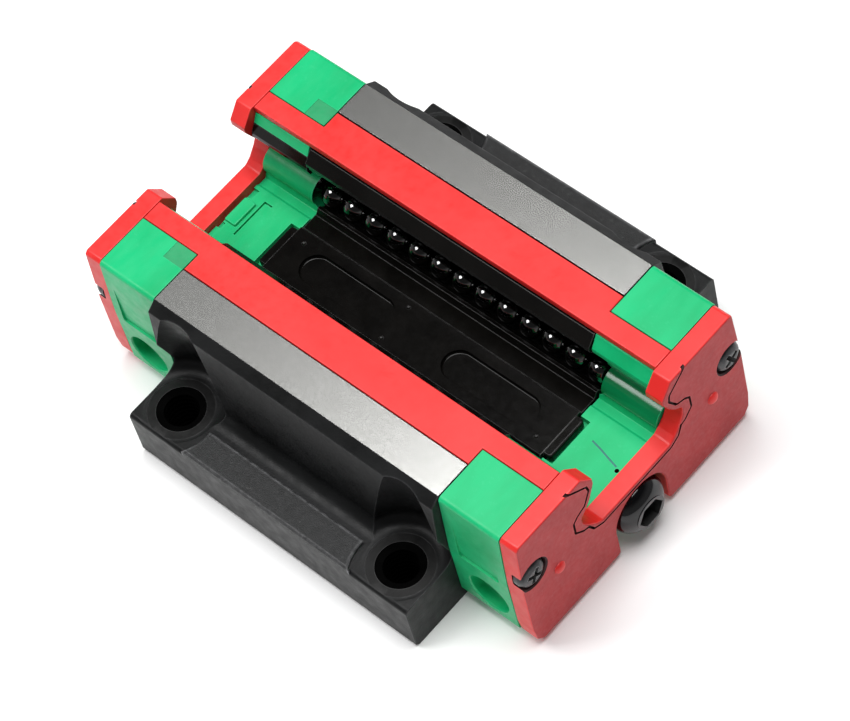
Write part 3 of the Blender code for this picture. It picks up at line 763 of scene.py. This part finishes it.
def make_side_retainers():
    """The strips under the bottom seals; at the far end the right one runs on over the cap's nose."""
    for side_name, side in SIDES.items():
        outline = arc((ROW_Y, ROW_Z["b"]), GROOVE_R, 82, 158, 16)
        outline += [(7.85, 21.4, 0.2), (7.85, 22.3, 0.2), (9.3, 23.95, 0.3), (11.3, 23.95), (10.75, 23.1)]
        strip = extrusion("side_strip_" + side_name, mirrored(rounded(outline), side), "X",
                          -RETAINER_END, RETAINER_END, RETAINER, (0.1, 0.1), 2)
        tail = rounded([
            (8.62, 22.7, 0.1), (7.75, 21.25, 0.4), (7.7, 20.6, 0.3), (8.15, 19.4, 0.2),
            (8.45, 19.7, 0.1), (8.1, 20.7, 0.2), (8.15, 21.1, 0.3), (8.9, 22.5, 0.1),
        ])
        if side > 0:
            combine(strip, [extrusion("tail", tail, "X", -CAP_OUT, -25.0, RETAINER, (0.1, 0), 2)], "UNION")
        place_piece(strip, "carriage", ["side_retainer_" + side_name])


# --- screws and port fittings ------------------------------------------------------------------

def thread_profile(radius, low, high, pitch, depth):
    """The side of a threaded shank, from its top end down."""
    points = []
    level = high
    while level - pitch > low:
        points += [(radius - depth, level), (radius, level - pitch * 0.4), (radius, level - pitch * 0.6)]
        level -= pitch
    return points + [(radius - depth, level)]


def make_end_screw(end_name, side_name):
    """A cross-recessed pan-head screw that clamps the seal and the cap to the block."""
    end, side = ENDS[end_name], SIDES[side_name]
    head, top = 36.85, 38.65
    profile = [(0, top), (1.3, top - 0.04, 0.6), (2.05, top - 0.42, 0.9)]
    profile += [(HEAD_R, top - 1.1, 0.4), (HEAD_R, head, 0.12)]
    profile += [(1.25, head)]
    profile = rounded(profile, 6, closed=False) + thread_profile(1.25, 23.7, head - 0.3, 0.5, 0.2)
    profile += [(0.8, 23.2), (0, 23.2)]
    place = along_x(end, side * SCREW_Y, SCREW_Z)
    name = f"{end_name}_{side_name}"
    screw = turned("screw_" + name, profile, place, SCREW, 48)
    turn = Matrix.Rotation(math.radians(28 * side), 4, "Z")
    cutters = []
    for quarter in (0, 90):
        wedge = bmesh.new()
        bmesh.ops.create_cone(
            wedge, cap_ends=True, segments=4, radius1=0.55 * MM, radius2=2.3 * MM, depth=1.4 * MM,
        )
        flat = Matrix.Diagonal((0.25, 1.0, 1.0, 1.0))
        spin = Matrix.Rotation(math.radians(45), 4, "Z")
        shift = Matrix.Translation((0, 0, (top - 0.45) * MM))
        rest = Matrix.Rotation(math.radians(quarter), 4, "Z")
        bmesh.ops.transform(wedge, matrix=place @ turn @ shift @ rest @ flat @ spin, verts=wedge.verts)
        # The cross recess is painted near black: painted shade.
        cutters.append(to_object("cross", wedge, RECESS_SHADE_BLACK))
    combine(screw, cutters)
    soften(screw, 0.05, 2, 40)
    place_piece(screw, "carriage", ["end_screw_" + name])


def make_port_fittings():
    """The near port's button-head screw and washer, and the far port's plug."""
    washer_low, washer_high = SEAL_IN, 36.9
    outer_r, inner_r = 4.6, 3.4
    ring = rounded([
        (outer_r, washer_high, 0.15), (outer_r, washer_low, 0.15),
        (inner_r, washer_low, 0.1), (inner_r, washer_high, 0.1),
    ])
    washer = turned("washer", ring, along_x(1, 0, PORT_Z), PLATED, 64)
    place_piece(washer, "carriage", ["port_washer"])

    base, head_r, flat_r = 37.15, 4.35, 2.75
    profile = [(0, base + 2.75), (flat_r, base + 2.75, 0.12)]
    profile += [(head_r * math.cos(math.radians(a)), base + 0.3 + 2.9 * math.sin(math.radians(a)))
                for a in range(54, -1, -6)]
    profile += [(head_r, base, 0.2), (2.9, base)]
    profile = rounded(profile, 4, closed=False) + thread_profile(2.9, 29.4, base - 0.2, 0.8, 0.35)
    profile += [(2.3, 29.0), (0, 29.0)]
    screw = turned("button_screw", profile, along_x(1, 0, PORT_Z), BUTTON, 96)
    hexagon = arc((0, PORT_Z), 2.31, 0, 300, 5)
    # The hex socket is painted near black: painted shade.
    combine(screw, [extrusion("socket", hexagon, "X", base + 0.9, 50, RECESS_SHADE_BLACK)])
    place_piece(screw, "carriage", ["port_screw"])

    profile = [(0, 35.1), (2.6, 35.1), (2.9, 34.8)] + thread_profile(2.9, 29.5, 34.6, 0.8, 0.3)
    profile += [(2.6, 29.1), (0, 29.1)]
    plug = turned("plug", profile, along_x(-1, 0, PORT_Z), PLATED, 64)
    hexagon = arc((0, PORT_Z), 1.73, 0, 300, 5)
    # The plug's hex socket is painted near black: painted shade.
    combine(plug, [extrusion("plug_socket", hexagon, "X", -50, -32.6, RECESS_SHADE_BLACK)])
    soften(plug, 0.06, 2, 50)
    place_piece(plug, "carriage", ["port_plug"])


# --- balls -------------------------------------------------------------------------------------

def spheres(name, centres):
    shape = bmesh.new()
    for centre in centres:
        made = bmesh.ops.create_icosphere(shape, subdivisions=4, radius=BALL_R * MM)
        bmesh.ops.translate(shape, verts=made["verts"], vec=Vector(centre) * MM)
    item = to_object(name, shape, STEEL)
    item.data.shade_smooth()
    return item


def make_balls():
    first = (BALLS_IN_ROW - 1) / 2 * BALL_PITCH
    for side_name, side in SIDES.items():
        for row, row_z in ROW_Z.items():
            for kind, y in (("loaded", ROW_Y), ("return", RETURN_Y)):
                places = [(index * BALL_PITCH - first, side * y, row_z) for index in range(BALLS_IN_ROW)]
                name = f"{row}_{side_name}"
                balls = spheres(f"{kind}_row_balls_{name}", places)
                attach(balls, f"{kind}_row_{name}")
                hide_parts(f"{kind}_balls_{name}")
            for end_name, end in ENDS.items():
                places = []
                for travel in TURN_ARCS:
                    angle = travel / TURN_R
                    x = end * (TURN_X + TURN_R * math.sin(angle))
                    places.append((x, side * (TURN_Y - TURN_R * math.cos(angle)), row_z))
                name = f"{row}_{side_name}_{end_name}"
                balls = spheres(f"turn_balls_pair_{name}", places)
                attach(balls, f"turn_{name}")
                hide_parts(f"turn_balls_{name}")


# --- camera, floor and light -------------------------------------------------------------------

def make_camera():
    data = bpy.data.cameras.new("camera")
    data.sensor_width = 36.0
    data.lens = 154.33
    data.clip_start = 0.01
    right = Vector((0.74086, 0.65286, -0.15782))
    down = Vector((0.4992, -0.69242, -0.52092))
    forward = Vector((-0.44936, 0.30714, -0.83889))
    turn = Matrix((right, -down, -forward)).transposed()
    camera = bpy.data.objects.new("camera", data)
    camera.matrix_world = Matrix.Translation(Vector((221.1, -151.03, 418.43)) * MM) @ turn.to_4x4()
    bpy.context.scene.collection.objects.link(camera)
    bpy.context.scene.camera = camera


def make_floor():
    bpy.ops.mesh.primitive_plane_add(size=4.0)
    floor = bpy.context.object
    floor.name = "floor"
    material = bpy.data.materials.new("floor")
    material.use_nodes = True
    shader = material.node_tree.nodes["Principled BSDF"]
    shader.inputs["Base Color"].default_value = (0.9, 0.9, 0.9, 1)
    shader.inputs["Roughness"].default_value = 0.8
    shader.inputs["Specular IOR Level"].default_value = 0.2
    shader.inputs["Emission Color"].default_value = (1, 1, 1, 1)
    shader.inputs["Emission Strength"].default_value = 0.06
    floor.data.materials.append(material)


def area_light(name, place, target, size, power, spread_angle=180.0):
    data = bpy.data.lights.new(name, "AREA")
    data.shape = "RECTANGLE"
    data.size = size[0]
    data.size_y = size[1]
    data.energy = power
    data.spread = math.radians(spread_angle)
    light = bpy.data.objects.new(name, data)
    light.location = place
    light.rotation_euler = (Vector(target) - Vector(place)).to_track_quat("-Z", "Y").to_euler()
    bpy.context.scene.collection.objects.link(light)
    return light


def make_world():
    """A dim studio, brighter near the horizon than overhead."""
    world = bpy.data.worlds.new("studio")
    bpy.context.scene.world = world
    world.use_nodes = True
    tree = world.node_tree
    place = node(tree, "ShaderNodeTexCoord")
    parts = node(tree, "ShaderNodeSeparateXYZ", {"Vector": place.outputs["Generated"]})
    level = spread(tree, parts.outputs["Z"], 0.30, 0.62, 0.29, 0.05)
    tree.links.new(level, tree.nodes["Background"].inputs["Strength"])
    tree.nodes["Background"].inputs["Color"].default_value = (1, 1, 1, 1)


def make_light():
    make_world()
    area_light("key", (0.0, 0.05, 0.70), (0.0, 0.05, 0), (0.5, 0.39), 5.7)
    area_light("window", (-0.34, -0.28, 0.68), (0, 0, 0), (0.30, 0.30), 2.4)
    bpy.context.scene.view_settings.view_transform = "Standard"


make_block()
for end_key in ENDS:
    make_cap(end_key)
    make_end_seal(end_key)
    for side_key in SIDES:
        make_end_screw(end_key, side_key)
make_guides()
make_bottom_seals()
make_centre_retainer()
make_side_retainers()
make_port_fittings()
make_balls()
make_camera()
make_floor()
make_light()
